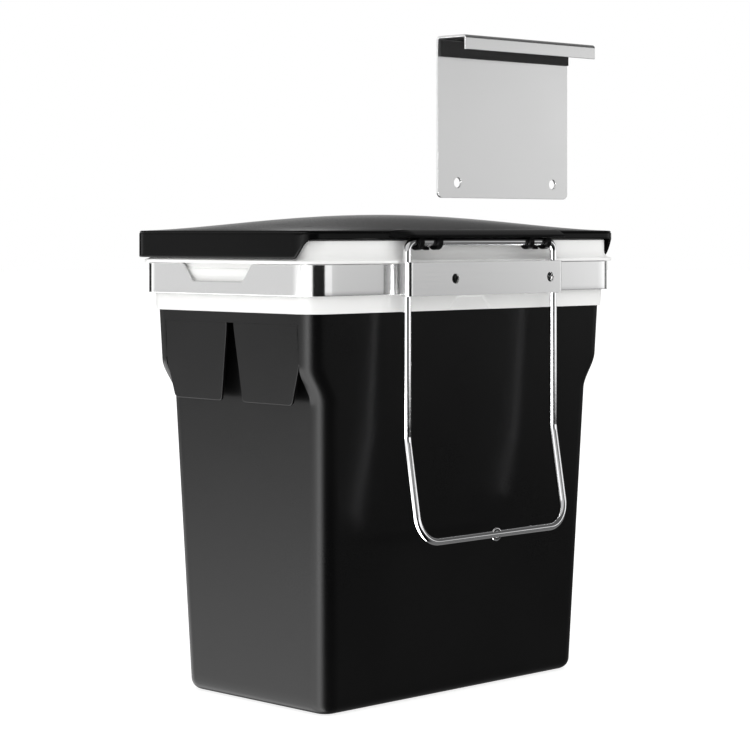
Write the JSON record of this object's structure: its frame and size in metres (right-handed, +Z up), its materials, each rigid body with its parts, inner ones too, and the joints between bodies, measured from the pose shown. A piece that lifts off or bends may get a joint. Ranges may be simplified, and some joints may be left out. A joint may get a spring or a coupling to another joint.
{
  "type": "in-cabinet waste bin",
  "caption": "Tapered black bucket in a steel band frame with a white liner ring, a hinged lid, a wire support loop and an over-door hook plate.",
  "frame": {"origin": "centre of the bucket's foot, on the plane it stands on", "axes": "+Z up, +Y towards the cabinet door that the back plate is screwed to, +X along the long side"},
  "size_m": [0.32, 0.2263, 0.4585],
  "materials": {
    "bucket_black": "fine satin black moulded plastic",
    "ring_white": "smooth white moulded plastic",
    "satin_steel": "satin steel",
    "chrome_wire": "bright chrome",
    "lid_black": "semi-gloss black moulded plastic",
    "pad_foam": "soft black foam"
  },
  "bodies": {
    "frame": {"bucket": "bucket_black", "liner_ring": "ring_white", "steel_band": "satin_steel", "back_plate": "satin_steel", "support_wire": "chrome_wire"},
    "lid": {"lid": "lid_black", "hinge_clip_a": "lid_black", "hinge_clip_b": "lid_black"},
    "bracket": {"hook_bracket": "satin_steel", "hook_pad": "pad_foam"}
  },
  "joints": [
    {"name": "lid_hinge", "type": "hinge", "parent": "frame", "child": "lid", "pos_m": [0, 0.09701, 0.3182], "axis": [-1, 0, 0], "range_deg": [0, 60]},
    {"name": "bracket_slide", "type": "slide", "parent": "frame", "child": "bracket", "axis": [0, 0, 1], "range_m": [-0.066, 0]}
  ]
}
